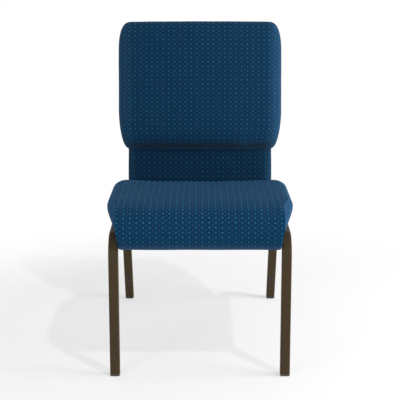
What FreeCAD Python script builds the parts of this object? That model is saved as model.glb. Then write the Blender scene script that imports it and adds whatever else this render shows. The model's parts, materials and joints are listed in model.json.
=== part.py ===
"""Stacking visitor chair with an upholstered seat and back.

Two bent steel side frames carry a front and a rear cross tube. The seat is a bent plywood
board with foam, a fabric cover and a dust cover, bolted down from below. The back is a tube
hoop on the rear cross tube, with a board, a rear panel, foam and a fabric cover whose neck is
narrow enough to pass between the rear legs of a chair stacked on top.

Millimetres, +Z up. The chair faces -Y. The origin is on the floor, on the mid-plane, halfway
between the front of the seat and the rear edge of the back feet.
"""

import FreeCAD
import Part
import math
import os

from FreeCAD import Placement, Rotation, Vector

# Whole chair
OVERALL_DEPTH = 643.0
FRAME_PITCH = 441.6         # side frame to side frame, centre to centre
RAIL_TOP = 373.0            # floor to the top face of the side rails

# Steel tube of the side frames and cross tubes
TUBE = 25.0
TUBE_WALL = 1.5
TUBE_CORNER = 4.0
BEND_RADIUS = 44.0          # on the centre line
FRONT_LEG_RAKE = 1.8        # degrees, foot ahead of the rail
REAR_LEG_RAKE = 22.3        # degrees, foot behind the rail
FRONT_FOOT_SETBACK = 3.0    # front foot behind the front of the seat

# Floor glides
GLIDE_HEIGHT = 6.0
GLIDE_PLUG = 24.0
GLIDE_ROUNDING = 3.0
GLIDE_CLEARANCE = 0.15

# Threaded inserts in the rear legs
INSERT_HEIGHT = 79.0        # above the floor, measured at the middle of the leg
INSERT_BODY = 9.0
INSERT_BORE = 6.0
INSERT_LENGTH = 13.0
INSERT_FLANGE = 13.0
INSERT_FLANGE_THICKNESS = 1.0

# Stacking bumpers under the side rails
BUMPER_LENGTH = 42.0
BUMPER_WIDTH = 15.0
BUMPER_HEIGHT = 5.0
BUMPER_ROUNDING = 2.0
BUMPER_STEM = 6.0
BUMPER_STEM_LENGTH = 7.0
BUMPER_INSET = 60.0         # from the end of the straight rail to the bumper's middle

# Upholstery sheet goods
FABRIC = 1.5
DUST_COVER = 0.8
COVER_TURN_IN = 30.0        # fabric turned under the seat board

# Seat cushion: heights are from the top of the side rails
SEAT_WIDTH = 474.0
SEAT_FRONT_RISE = 73.0      # middle of the top, where the front corners begin
SEAT_REAR_RISE = 64.0       # middle of the top, where the rear corners begin
RIM_FRONT_RISE = 72.0       # side rims, at the same two places
RIM_REAR_RISE = 68.5
SIDE_FRONT_RISE = 69.0      # widest line, at the same two places
SIDE_REAR_RISE = 60.5
SEAT_RIM = 16.0             # from the widest line in to the side rim
FLARE_DROP = 6.0            # lower edge of the side flare, below the rail top
SKIRT_DROP = 36.5           # bottom of the front skirt, below the rail top
SKIRT_LEAN = 2.5            # how much wider the skirt is at its top than at its bottom
SKIRT_CLEARANCE = 3.8       # skirt to front leg, each side
SKIRT_ROLL = 28.0           # front to back, of the rounding under the front
SKIRT_ROLL_HEIGHT = 44.0
SKIRT_SHARE = 0.33          # least part of the side's height that is skirt, where it rolls under
FRONT_EDGE_RUN = 80.0       # front to back, of the rounding over the front
FRONT_EDGE_DROP = 54.0
FRONT_CORNER_RUN = 97.0
FRONT_CORNER_INSET = 23.5
REAR_CORNER_RUN = 62.0
REAR_CORNER_INSET = 36.0
REAR_EDGE_DROP = 26.0
SEAT_TO_BACK = 30.0         # gap between the seat and the neck of the back

# Seat board
BOARD = 12.0
BOARD_MARGIN = 8.0          # foam beside the board
LIP_FOAM = 18.0             # foam in front of the board's turned-down lip
LIP_RADIUS = 20.0           # inside the bend
LIP_LIFT = 12.0             # lip above the bottom of the skirt
BOARD_CORNER = 25.0

# Seat fasteners
BOLT = 6.0
BOLT_HOLE = 7.0
BOLT_HEAD = 10.0            # across the flats
BOLT_HEAD_HEIGHT = 4.0
BOLT_PITCH = 300.0          # left bolt to right bolt
WASHER = 16.0
WASHER_THICKNESS = 1.2
NUT_FLANGE = 19.0
NUT_FLANGE_THICKNESS = 1.5
NUT_BARREL = 8.0
TAB_WIDTH = 40.0
TAB_THICKNESS = 3.0
TAB_REACH = 80.0            # tab ahead of the rear cross tube
TAB_HOLE_INSET = 16.0       # from the tab's front end to its hole
TAB_CORNER = 10.0

# Back hoop
RECLINE = 11.5              # degrees
HOOP_TUBE = 19.0
HOOP_WALL = 1.5
HOOP_PITCH = 370.0
HOOP_HEIGHT = 430.0         # rail top to the hoop's top tube, along the recline
HOOP_BEND = 60.0

# Back cushion: heights are along the recline, depths from the middle of the hoop
BACK_WIDTH = 467.0
BACK_HEIGHT = 502.0
NECK_WIDTH = 411.0
NECK_BOTTOM = 42.0
NECK_TOP = 141.0
NECK_FRONT = 21.0
PAD_FRONT = 54.0            # at the side rims
NECK_CROWN = 2.0            # rise of the neck's front from its side rims to the middle
PAD_CROWN = 9.0             # the same for the pad
PAD_LEAN = 9.0              # how much thinner the pad is at its top
BACK_REAR = 22.5
REAR_CROWN = 3.0
NECK_BULGE = 0.8            # swell of the neck's sides
PAD_BULGE = 2.5             # swell of the pad's sides
SHOULDER_RISE = 115.0       # height over which the sides swell out of the neck
CHIN_RISE = 60.0            # height over which the front swells out of the neck
TOP_CORNER_RISE = 78.0
TOP_CORNER_INSET = 30.0
TOP_FRONT_RADIUS = 28.0
TOP_REAR_RADIUS = 12.0
NECK_EDGE_RADIUS = 9.0
PAD_EDGE_RADIUS = 24.0
BACK_EDGE_RADIUS = 10.0

# Back boards
BACK_BOARD = 6.0
REAR_PANEL = 4.0
NECK_MARGIN = 6.0           # foam and fabric beside the boards, in the neck
CORE_MARGIN = 17.0          # the same in the pad
CORE_CORNER = 40.0
SCREW = 4.2
SCREW_HEAD = 8.0
SCREW_HEAD_DEPTH = 2.4
SCREW_BITE = 6.0            # thread beyond the tube wall
SCREWS_PER_SIDE = 3
SCREW_FIRST = 90.0          # lowest screw above the rail top, along the recline
SCREW_LAST = 350.0

# Long enough to pass right through the chair
REACH = 2000.0

# Places worked out from the sizes above
tube_half = TUBE / 2
frame_x = FRAME_PITCH / 2
rail_z = RAIL_TOP - tube_half
front_y = -OVERALL_DEPTH / 2
front_lean = math.tan(math.radians(FRONT_LEG_RAKE))
rear_lean = math.tan(math.radians(REAR_LEG_RAKE))
front_foot_y = front_y + FRONT_FOOT_SETBACK + tube_half
rear_foot_y = OVERALL_DEPTH / 2 - tube_half / math.cos(math.radians(REAR_LEG_RAKE))
front_corner_y = front_foot_y + rail_z * front_lean
rear_corner_y = rear_foot_y - rail_z * rear_lean
straight_front_y = front_corner_y + BEND_RADIUS * math.tan(math.radians(90 - FRONT_LEG_RAKE) / 2)
straight_rear_y = rear_corner_y - BEND_RADIUS * math.tan(math.radians(90 - REAR_LEG_RAKE) / 2)
front_cross_y = straight_front_y + tube_half
rear_cross_y = straight_rear_y - tube_half
tab_hole_y = rear_cross_y - tube_half - TAB_REACH + TAB_HOLE_INSET

recline_sin = math.sin(math.radians(RECLINE))
recline_cos = math.cos(math.radians(RECLINE))
hoop_half = HOOP_TUBE / 2
board_front = hoop_half + BACK_BOARD
panel_rear = hoop_half + REAR_PANEL
neck_front_y = rear_cross_y + NECK_BOTTOM * recline_sin - NECK_FRONT * recline_cos

seat_rear_y = neck_front_y - SEAT_TO_BACK
cover_base = RAIL_TOP + DUST_COVER
board_base = cover_base + FABRIC
board_top = board_base + BOARD
skirt_bottom = RAIL_TOP - SKIRT_DROP
skirt_half = (FRAME_PITCH - TUBE) / 2 - SKIRT_CLEARANCE
board_half = skirt_half - FABRIC - BOARD_MARGIN
lip_front_y = front_y + FABRIC + LIP_FOAM
lip_rear_y = lip_front_y + BOARD
bolt_places = [(side * BOLT_PITCH / 2, y) for side in (-1, 1) for y in (front_cross_y, tab_hole_y)]


# Helpers

def rounded_path(points, radii, closed=False):
    """Segments (start, middle, end, centre) through the points, with an arc of the given
    radius at each. A straight segment has no middle and no centre."""
    count = len(points)
    corners = []
    for i, (point, radius) in enumerate(zip(points, radii)):
        if radius <= 0 or (not closed and i in (0, count - 1)):
            corners.append((point, None, point, None))
            continue
        before = (point - points[i - 1]).normalize()
        after = (points[(i + 1) % count] - point).normalize()
        half_turn = before.getAngle(after) / 2
        inward = (after - before).normalize()
        tangent = radius * math.tan(half_turn)
        centre = point + inward * (radius / math.cos(half_turn))
        corners.append((point - before * tangent, centre - inward * radius,
                        point + after * tangent, centre))
    segments = []
    for i, corner in enumerate(corners):
        if corner[1] is not None:
            segments.append(corner)
        if closed or i < count - 1:
            following = corners[(i + 1) % count]
            segments.append((corner[2], None, following[0], None))
    return segments


def wire_of(segments):
    """One wire along the segments."""
    edges = []
    for start, middle, end, _ in segments:
        if middle is None:
            edges.append(Part.makeLine(start, end))
        else:
            edges.append(Part.Arc(start, middle, end).toShape())
    return Part.Wire(edges)


def arc_wire(stations):
    """A closed wire of arcs and lines. Each station is (point, point halfway to the next)."""
    edges = []
    for i, (start, middle) in enumerate(stations):
        end = stations[(i + 1) % len(stations)][0]
        if middle is None:
            edges.append(Part.makeLine(start, end))
        else:
            edges.append(Part.Arc(start, middle, end).toShape())
    return Part.Wire(edges)


def rounded_rectangle(width, depth, corner):
    """A rectangle round the origin in the XY plane."""
    x, y = width / 2, depth / 2
    points = [Vector(-x, -y, 0), Vector(x, -y, 0), Vector(x, y, 0), Vector(-x, y, 0)]
    return wire_of(rounded_path(points, [corner] * 4, closed=True))


def face_of(*wires):
    return Part.makeFace(list(wires), "Part::FaceMakerBullseye")


def square_tube():
    hollow = TUBE - 2 * TUBE_WALL
    return face_of(rounded_rectangle(TUBE, TUBE, TUBE_CORNER),
                   rounded_rectangle(hollow, hollow, TUBE_CORNER - TUBE_WALL))


def round_tube():
    return face_of(Part.Wire(Part.makeCircle(hoop_half)), Part.Wire(Part.makeCircle(hoop_half - HOOP_WALL)))


def placed(section, origin, heading, side):
    """The section, square to heading at the origin given, with its X along side."""
    section = section.copy()
    section.Placement = Placement(origin, Rotation(side, Vector(), heading, "ZXY"))
    return section


def one_solid(shape):
    """The single solid of a shape, with its seams between flush faces removed."""
    solids = shape.removeSplitter().Solids
    if len(solids) != 1:
        raise ValueError(f"expected one solid and found {len(solids)}")
    return solids[0]


def swept(segments, section, side):
    """A bar of the section along the segments, which lie in a plane square to side."""
    lengths = []
    for start, _, end, centre in segments:
        if centre is None:
            face = placed(section, start, end - start, side)
            lengths.append(face.extrude(end - start))
        else:
            axis = (start - centre).cross(end - centre)
            face = placed(section, start, axis.cross(start - centre), side)
            turn = math.degrees((start - centre).getAngle(end - centre))
            lengths.append(face.revolve(centre, axis, turn))
    if len(lengths) == 1:
        return one_solid(lengths[0])
    return one_solid(lengths[0].multiFuse(lengths[1:]))


def cylinder(diameter, start, end):
    return Part.makeCylinder(diameter / 2, (end - start).Length, start, end - start)


def block(low, high):
    return Part.makeBox(high.x - low.x, high.y - low.y, high.z - low.z, low)


def below(height):
    return block(Vector(-REACH, -REACH, -REACH), Vector(REACH, REACH, height))


def quarter(distance, length):
    """Height, as a share, of a quarter ellipse at a distance from its foot."""
    share = min(max(distance / length, 0.0), 1.0)
    return math.sqrt(1 - (1 - share) ** 2)


def group(solids):
    return Part.makeCompound(list(solids))


# Steel frame

def leg_lines():
    """(foot on the floor, direction up the leg) of the front and the rear leg, at x = 0."""
    front = Vector(0, front_lean, 1).normalize()
    rear = Vector(0, -rear_lean, 1).normalize()
    return {"front": (Vector(0, front_foot_y, 0), front), "rear": (Vector(0, rear_foot_y, 0), rear)}


def bumper_spots():
    """Where the bumpers meet the underside of a rail, at x = 0."""
    under = RAIL_TOP - TUBE
    return [Vector(0, straight_front_y + BUMPER_INSET, under), Vector(0, straight_rear_y - BUMPER_INSET, under)]


def insert_axis():
    """(point on the front face of the rear leg, direction out of it), at x = 0."""
    foot, up = leg_lines()["rear"]
    outward = Vector(0, -up.z, up.y)
    middle = foot + up * (INSERT_HEIGHT / up.z)
    return middle + outward * tube_half, outward


def side_frame(x):
    """Front leg, rail and rear leg, bent from one tube."""
    shift = Vector(x, 0, 0)
    lines = leg_lines()
    ends = {name: foot - up * TUBE for name, (foot, up) in lines.items()}
    points = [ends["front"], Vector(0, front_corner_y, rail_z), Vector(0, rear_corner_y, rail_z), ends["rear"]]
    path = rounded_path([p + shift for p in points], [0, BEND_RADIUS, BEND_RADIUS, 0])
    frame = swept(path, square_tube(), Vector(1, 0, 0)).cut(below(GLIDE_HEIGHT))
    mouth, outward = insert_axis()
    frame = frame.cut(cylinder(INSERT_BODY, mouth + shift - outward * tube_half, mouth + shift + outward))
    for spot in bumper_spots():
        frame = frame.cut(cylinder(BUMPER_STEM, spot + shift, spot + shift + Vector(0, 0, tube_half)))
    return one_solid(frame)


def cross_tube(y, holes):
    """A tube between the side frames, with bolt holes right through it."""
    half = frame_x - tube_half
    path = rounded_path([Vector(-half, y, rail_z), Vector(half, y, rail_z)], [0, 0])
    tube = swept(path, square_tube(), Vector(0, 1, 0))
    for x in holes:
        tube = tube.cut(cylinder(BOLT_HOLE, Vector(x, y, 0), Vector(x, y, RAIL_TOP + TUBE)))
    return one_solid(tube)


def seat_tab(x):
    """A plate welded to the front of the rear cross tube, flush with its top."""
    weld_y = rear_cross_y - tube_half
    half = TAB_WIDTH / 2
    base = RAIL_TOP - TAB_THICKNESS
    corners = [(-half, 0), (half, 0), (half, -TAB_REACH), (-half, -TAB_REACH)]
    points = [Vector(x + across, weld_y + along, base) for across, along in corners]
    outline = wire_of(rounded_path(points, [0, 0, TAB_CORNER, TAB_CORNER], closed=True))
    plate = face_of(outline).extrude(Vector(0, 0, TAB_THICKNESS))
    return one_solid(plate.cut(cylinder(BOLT_HOLE, Vector(x, tab_hole_y, 0), Vector(x, tab_hole_y, REACH))))


def glide(x, leg):
    """A plug in the foot of a leg, with a pad that stands flat on the floor."""
    foot, up = leg_lines()[leg]
    foot = foot + Vector(x, 0, 0)
    hollow = TUBE - 2 * TUBE_WALL - 2 * GLIDE_CLEARANCE
    side = Vector(1, 0, 0)
    outline = face_of(rounded_rectangle(TUBE, TUBE, TUBE_CORNER))
    core = face_of(rounded_rectangle(hollow, hollow, TUBE_CORNER - TUBE_WALL))
    bar = placed(outline, foot - up * TUBE, up, side).extrude(up * (2 * TUBE + GLIDE_HEIGHT))
    pad = bar.common(block(Vector(-REACH, -REACH, 0), Vector(REACH, REACH, GLIDE_HEIGHT)))
    ground = [e for e in pad.Edges if all(abs(v.Z) < 1e-6 for v in e.Vertexes)]
    pad = pad.makeFillet(GLIDE_ROUNDING, ground)
    plug = placed(core, foot, up, side).extrude(up * (GLIDE_HEIGHT / up.z + GLIDE_PLUG))
    return one_solid(pad.fuse(plug.cut(below(GLIDE_HEIGHT))))


def rivet_insert(x):
    """A flanged threaded insert in the front face of a rear leg."""
    mouth, outward = insert_axis()
    mouth = mouth + Vector(x, 0, 0)
    inner = mouth - outward * INSERT_LENGTH
    outer = mouth + outward * INSERT_FLANGE_THICKNESS
    insert = cylinder(INSERT_BODY, inner, mouth).fuse(cylinder(INSERT_FLANGE, mouth, outer))
    return one_solid(insert.cut(cylinder(INSERT_BORE, inner, outer)))


def bumper(x, spot):
    """A soft pad under a rail, held by a stem through the tube wall."""
    spot = spot + Vector(x, 0, 0)
    size = Vector(BUMPER_WIDTH, BUMPER_LENGTH, BUMPER_HEIGHT)
    low = spot - Vector(size.x / 2, size.y / 2, size.z)
    pad = block(low, low + size)
    rounded = [e for e in pad.Edges if any(v.Z < spot.z - BUMPER_HEIGHT / 2 for v in e.Vertexes)]
    pad = pad.makeFillet(BUMPER_ROUNDING, rounded)
    return one_solid(pad.fuse(cylinder(BUMPER_STEM, spot, spot + Vector(0, 0, BUMPER_STEM_LENGTH))))


# Seat

def seat_section(y, inset):
    """Outline of the cushion across the chair at one y, drawn in by the inset all round."""
    ahead, behind = y - front_y - inset, seat_rear_y - inset - y
    start, stop = front_y + FRONT_CORNER_RUN, seat_rear_y - REAR_CORNER_RUN
    share = min(max((y - start) / (stop - start), 0.0), 1.0)

    def rounding(distance, run, depth):
        return (depth - inset) * (1 - quarter(distance, run - inset))

    drop = rounding(ahead, FRONT_EDGE_RUN, FRONT_EDGE_DROP) + rounding(behind, REAR_CORNER_RUN, REAR_EDGE_DROP)
    narrow = (FRONT_CORNER_INSET * max(1 - ahead / (FRONT_CORNER_RUN - inset), 0.0) ** 2
              + rounding(behind, REAR_CORNER_RUN, REAR_CORNER_INSET))

    def height(front_rise, rear_rise):
        return RAIL_TOP + front_rise + (rear_rise - front_rise) * share - drop

    crown = height(SEAT_FRONT_RISE, SEAT_REAR_RISE) - inset
    rim = height(RIM_FRONT_RISE, RIM_REAR_RISE) - inset
    wide = height(SIDE_FRONT_RISE, SIDE_REAR_RISE)
    foot = skirt_bottom + inset + rounding(ahead, SKIRT_ROLL, SKIRT_ROLL_HEIGHT)
    skirt_top = max(RAIL_TOP - FLARE_DROP, foot + (wide - foot) * SKIRT_SHARE)
    half = SEAT_WIDTH / 2 - inset - narrow
    rim_half = half - SEAT_RIM
    foot_half = skirt_half - inset
    lean_half = min(skirt_half + SKIRT_LEAN - inset, half - SKIRT_LEAN)
    flare, overhang = wide - skirt_top, half - lean_half
    flare_radius = (overhang ** 2 + flare ** 2) / (2 * overhang)
    flare_turn = math.asin(flare / flare_radius) / 2
    flare_x = half - flare_radius * (1 - math.cos(flare_turn))
    flare_z = wide - flare_radius * math.sin(flare_turn)
    diagonal = math.sqrt(0.5)
    edge_x = rim_half + SEAT_RIM * diagonal
    edge_z = wide + (rim - wide) * diagonal
    stations = [
        (-foot_half, foot, None),
        (foot_half, foot, None),
        (lean_half, skirt_top, (flare_x, flare_z)),
        (half, wide, (edge_x, edge_z)),
        (rim_half, rim, (0, crown)),
        (-rim_half, rim, (-edge_x, edge_z)),
        (-half, wide, (-flare_x, flare_z)),
        (-lean_half, skirt_top, None),
    ]
    return arc_wire([(Vector(x, y, z), Vector(through[0], y, through[1]) if through else None)
                     for x, z, through in stations])


def seat_blank(inset):
    """The cushion before its underside is cut away: a straight run with rounded ends."""
    angles = [0, 15, 30, 42, 54, 64, 74, 82, 90]
    steps = [1 - math.sin(math.radians(angle)) for angle in angles]
    front_end = [seat_section(front_y + inset + (FRONT_CORNER_RUN - inset) * step, inset) for step in steps]
    rear_end = [seat_section(seat_rear_y - inset - (REAR_CORNER_RUN - inset) * step, inset) for step in steps]
    run = Part.makeLoft([front_end[0], rear_end[0]], True, True)
    blank = run.multiFuse([Part.makeLoft(front_end, True, False), Part.makeLoft(rear_end, True, False)])
    return one_solid(blank)


def underside(rear_of_lip, height, radius):
    """What is cut away behind the skirt and below the cushion's flat base."""
    points = [Vector(-REACH, rear_of_lip, -REACH), Vector(-REACH, rear_of_lip, height),
              Vector(-REACH, REACH, height), Vector(-REACH, REACH, -REACH)]
    outline = wire_of(rounded_path(points, [0, radius, 0, 0], closed=True))
    return face_of(outline).extrude(Vector(2 * REACH, 0, 0))


def seat_board():
    """Plywood, bent down at the front, with holes for the tee nuts."""
    rear = seat_rear_y - FABRIC - BOARD_MARGIN
    lip_bottom = skirt_bottom + LIP_LIFT
    points = [Vector(-board_half, rear, board_base), Vector(-board_half, lip_rear_y, board_base),
              Vector(-board_half, lip_rear_y, lip_bottom), Vector(-board_half, lip_front_y, lip_bottom),
              Vector(-board_half, lip_front_y, board_top), Vector(-board_half, rear, board_top)]
    outline = wire_of(rounded_path(points, [0, LIP_RADIUS, 0, 0, LIP_RADIUS + BOARD, 0], closed=True))
    board = face_of(outline).extrude(Vector(2 * board_half, 0, 0))
    corners = [e for e in board.Edges if all(abs(v.Y - rear) < 1e-6 for v in e.Vertexes)
               and abs(e.Vertexes[0].Z - e.Vertexes[-1].Z) > BOARD / 2]
    board = board.makeFillet(BOARD_CORNER, corners)
    return one_solid(board)


def tee_nuts():
    """Flanged nuts on top of the seat board, with their barrels down in it."""
    nuts = []
    for x, y in bolt_places:
        flange = cylinder(NUT_FLANGE, Vector(x, y, board_top), Vector(x, y, board_top + NUT_FLANGE_THICKNESS))
        barrel = cylinder(NUT_BARREL, Vector(x, y, board_base), Vector(x, y, board_top))
        bore = cylinder(BOLT, Vector(x, y, 0), Vector(x, y, REACH))
        nuts.append(one_solid(flange.fuse(barrel).cut(bore)))
    return nuts


def clamp_height(y):
    """Underside of what a seat bolt at this y clamps: the front tube or a rear tab."""
    return RAIL_TOP - TUBE if y == front_cross_y else RAIL_TOP - TAB_THICKNESS


def washers():
    rings = []
    for x, y in bolt_places:
        top = Vector(x, y, clamp_height(y))
        disc = cylinder(WASHER, top - Vector(0, 0, WASHER_THICKNESS), top)
        rings.append(one_solid(disc.cut(cylinder(BOLT, Vector(x, y, 0), top))))
    return rings


def seat_bolt(x, y):
    """A hexagon-head bolt from below into a tee nut."""
    seat = clamp_height(y) - WASHER_THICKNESS
    corner = BOLT_HEAD / 2 / math.cos(math.radians(30))
    points = [Vector(x + corner * math.cos(math.radians(60 * i)), y + corner * math.sin(math.radians(60 * i)), seat)
              for i in range(6)]
    head = face_of(Part.makePolygon(points + points[:1])).extrude(Vector(0, 0, -BOLT_HEAD_HEIGHT))
    shank = cylinder(BOLT, Vector(x, y, seat), Vector(x, y, board_top))
    return one_solid(head.fuse(shank))


def build_seat():
    """Board, foam, cover, dust cover and fasteners of the seat."""
    board = seat_board()
    nuts = tee_nuts()
    outer = seat_blank(0).cut(underside(lip_rear_y + FABRIC, cover_base, LIP_RADIUS - FABRIC))
    inner = seat_blank(FABRIC).cut(underside(lip_rear_y, board_base, LIP_RADIUS))
    window = block(Vector(-skirt_half + COVER_TURN_IN, lip_rear_y + LIP_RADIUS, cover_base),
                   Vector(skirt_half - COVER_TURN_IN, seat_rear_y - COVER_TURN_IN, board_base))
    cover = outer.cut(inner).cut(window)
    foam = inner.cut(board).cut(group(nuts))
    dust_low = Vector(-skirt_half + FABRIC, lip_rear_y + LIP_RADIUS, RAIL_TOP)
    dust_high = Vector(skirt_half - FABRIC, seat_rear_y - FABRIC, cover_base)
    dust = block(dust_low, dust_high)
    for x, y in bolt_places:
        through = cylinder(BOLT_HOLE, Vector(x, y, 0), Vector(x, y, board_base))
        dust = dust.cut(through)
        cover = cover.cut(through)
        board = board.cut(cylinder(NUT_BARREL, Vector(x, y, board_base), Vector(x, y, board_top)))
    front = [place for place in bolt_places if place[1] == front_cross_y]
    rear = [place for place in bolt_places if place[1] == tab_hole_y]
    return {
        "seat_board": one_solid(board),
        "seat_foam": one_solid(foam),
        "seat_cover": one_solid(cover),
        "seat_dust_cover": one_solid(dust),
        "seat_tee_nuts": group(nuts),
        "seat_washers": group(washers()),
        "seat_front_bolts": group(seat_bolt(x, y) for x, y in front),
        "seat_rear_bolts": group(seat_bolt(x, y) for x, y in rear),
    }


# Back, built upright round the hoop's foot and then leaned back

def reclined(shape):
    shape = shape.copy()
    shape.rotate(Vector(), Vector(1, 0, 0), -RECLINE)
    shape.translate(Vector(0, rear_cross_y, RAIL_TOP))
    return shape


def back_section(height, inset):
    """Outline of the back cushion, seen from above, at one height along the recline."""
    lift = height - NECK_TOP - inset
    shoulder = quarter(lift, SHOULDER_RISE)
    chin = quarter(lift, CHIN_RISE)
    left = BACK_HEIGHT - inset - height

    def rounding(run, depth):
        return (depth - inset) * (1 - quarter(left, run - inset))

    front_round = rounding(TOP_FRONT_RADIUS, TOP_FRONT_RADIUS)
    rear_round = rounding(TOP_REAR_RADIUS, TOP_REAR_RADIUS)
    side_round = rounding(TOP_CORNER_RISE, TOP_CORNER_INSET)
    bulge = NECK_BULGE + (PAD_BULGE - NECK_BULGE) * chin
    half = NECK_WIDTH / 2 + (BACK_WIDTH - NECK_WIDTH) / 2 * shoulder - inset - bulge - side_round
    lean = PAD_LEAN * max(lift, 0) / (BACK_HEIGHT - NECK_TOP)
    rim = NECK_FRONT + (PAD_FRONT - lean - NECK_FRONT) * chin - inset - front_round
    crown = rim + NECK_CROWN + (PAD_CROWN - NECK_CROWN) * chin
    rear = BACK_REAR - inset - rear_round
    edge = NECK_EDGE_RADIUS + (PAD_EDGE_RADIUS - NECK_EDGE_RADIUS) * chin - inset - front_round / 2
    heel = BACK_EDGE_RADIUS - inset - rear_round / 2
    short = 1 - math.sqrt(0.5)
    flank = (heel - edge + rim - rear) / 2
    stations = [
        (-half + edge, -rim, (0, -crown)),
        (half - edge, -rim, (half - edge * short, -rim + edge * short)),
        (half, -rim + edge, (half + bulge, -flank)),
        (half, rear - heel, (half - heel * short, rear - heel * short)),
        (half - heel, rear, (0, rear + REAR_CROWN)),
        (-half + heel, rear, (-half + heel * short, rear - heel * short)),
        (-half, rear - heel, (-half - bulge, -flank)),
        (-half, -rim + edge, (-half + edge * short, -rim + edge * short)),
    ]
    return arc_wire([(Vector(x, y, height), Vector(through[0], through[1], height))
                     for x, y, through in stations])


def back_blank(inset):
    """The back cushion: a straight neck, its swell into the pad, the pad and the pad's top."""
    bottom, waist, top = NECK_BOTTOM + inset, NECK_TOP + inset, BACK_HEIGHT - inset
    angles = [0, 10, 20, 32, 44, 56, 68, 80, 90]
    swell = [waist + SHOULDER_RISE * (1 - math.cos(math.radians(angle))) for angle in angles]
    crest = [top - (TOP_CORNER_RISE - inset) * (1 - math.sin(math.radians(angle))) for angle in angles]
    lofts = []
    for heights in ([bottom, waist], swell, [swell[-1], crest[0]], crest):
        sections = [back_section(height, inset) for height in heights]
        lofts.append(Part.makeLoft(sections, True, len(sections) == 2))
    return one_solid(lofts[0].multiFuse(lofts[1:]))


def core_outline(depth):
    """Outline of the boards, upright, at a depth from the middle of the hoop."""
    neck_half = NECK_WIDTH / 2 - NECK_MARGIN
    pad_half = BACK_WIDTH / 2 - CORE_MARGIN
    bottom = NECK_BOTTOM + FABRIC
    shoulder = NECK_TOP + CORE_MARGIN
    swell = NECK_TOP + SHOULDER_RISE
    top = BACK_HEIGHT - CORE_MARGIN
    half = [(neck_half, bottom), (neck_half, shoulder), (pad_half, swell), (pad_half, top)]
    points = half + [(-x, z) for x, z in reversed(half)]
    radii = [0, CORE_CORNER, CORE_CORNER, CORE_CORNER]
    return wire_of(rounded_path([Vector(x, depth, z) for x, z in points], radii + radii[::-1], closed=True))


def slab(front, rear):
    """The boards' outline, filled from one depth to another."""
    return face_of(core_outline(front)).extrude(Vector(0, rear - front, 0))


def hoop_bar(section):
    """The bent hoop tube, upright, running on past its feet."""
    half = HOOP_PITCH / 2
    points = [Vector(-half, 0, -TUBE), Vector(-half, 0, HOOP_HEIGHT),
              Vector(half, 0, HOOP_HEIGHT), Vector(half, 0, -TUBE)]
    return swept(rounded_path(points, [0, HOOP_BEND, HOOP_BEND, 0]), section, Vector(0, 1, 0))


def back_screws(face_depth, direction):
    """Countersunk screws along both uprights, from a board's face into the tube wall."""
    step = (SCREW_LAST - SCREW_FIRST) / (SCREWS_PER_SIDE - 1)
    length = abs(face_depth) - hoop_half + HOOP_WALL + SCREW_BITE
    screws = []
    for x in (-HOOP_PITCH / 2, HOOP_PITCH / 2):
        for i in range(SCREWS_PER_SIDE):
            start = Vector(x, face_depth, SCREW_FIRST + step * i)
            heading = Vector(0, direction, 0)
            head = Part.makeCone(SCREW_HEAD / 2, SCREW / 2, SCREW_HEAD_DEPTH, start, heading)
            screws.append(one_solid(head.fuse(cylinder(SCREW, start, start + heading * length))))
    return screws


def build_back():
    """Hoop, boards, foam, cover and screws of the back."""
    board_screws = group(back_screws(-board_front, 1))
    panel_screws = group(back_screws(panel_rear, -1))
    bar = hoop_bar(face_of(Part.Wire(Part.makeCircle(hoop_half))))
    hoop = hoop_bar(round_tube()).cut(board_screws).cut(panel_screws)
    board = slab(-board_front, -hoop_half).cut(board_screws)
    panel = slab(hoop_half, panel_rear).cut(panel_screws)
    outer, inner = back_blank(0), back_blank(FABRIC)
    behind = block(Vector(-REACH, panel_rear, -REACH), Vector(REACH, REACH, REACH))
    core = slab(-board_front, panel_rear)
    return {
        "back_hoop": one_solid(reclined(hoop).cut(below(RAIL_TOP))),
        "back_board": one_solid(reclined(board)),
        "back_rear_panel": one_solid(reclined(panel)),
        "back_board_screws": reclined(board_screws),
        "back_panel_screws": reclined(panel_screws),
        "back_foam": one_solid(reclined(inner.cut(behind).cut(core).cut(bar))),
        "back_rear_foam": one_solid(reclined(inner.common(behind))),
        "back_cover": one_solid(reclined(outer.cut(inner).cut(bar))),
    }


# Whole chair

def build_frame():
    """Side frames, cross tubes, tabs and the small parts in and on the tubes."""
    sides = {"left": -frame_x, "right": frame_x}
    bolt_x = sorted({x for x, _ in bolt_places})
    nodes = {f"{name}_side_frame": side_frame(x) for name, x in sides.items()}
    nodes["front_cross_tube"] = cross_tube(front_cross_y, bolt_x)
    nodes["rear_cross_tube"] = cross_tube(rear_cross_y, [])
    nodes["seat_tabs"] = group(seat_tab(x) for x in bolt_x)
    for name, x in sides.items():
        for leg in ("front", "rear"):
            nodes[f"{leg}_{name}_glide"] = glide(x, leg)
    nodes["rear_leg_inserts"] = group(rivet_insert(x) for x in sides.values())
    nodes["stacking_bumpers"] = group(bumper(x, spot) for x in sides.values() for spot in bumper_spots())
    return nodes


def main():
    os.makedirs("parts", exist_ok=True)
    nodes = {**build_frame(), **build_seat(), **build_back()}
    for name, shape in nodes.items():
        shape.exportStep(f"parts/{name}.step")
        print(f"{name}: {len(shape.Solids)} solids, {shape.Volume / 1000:.1f} cm3, valid {shape.isValid()}")


main()
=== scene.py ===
"""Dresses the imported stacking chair: upholstery, finishes, fittings, floor, light and camera.

Metres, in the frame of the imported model: +Z up, the chair faces -Y, the floor is z = 0.
"""

import json
import math

import bmesh
import bpy
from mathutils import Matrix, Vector, noise


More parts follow.
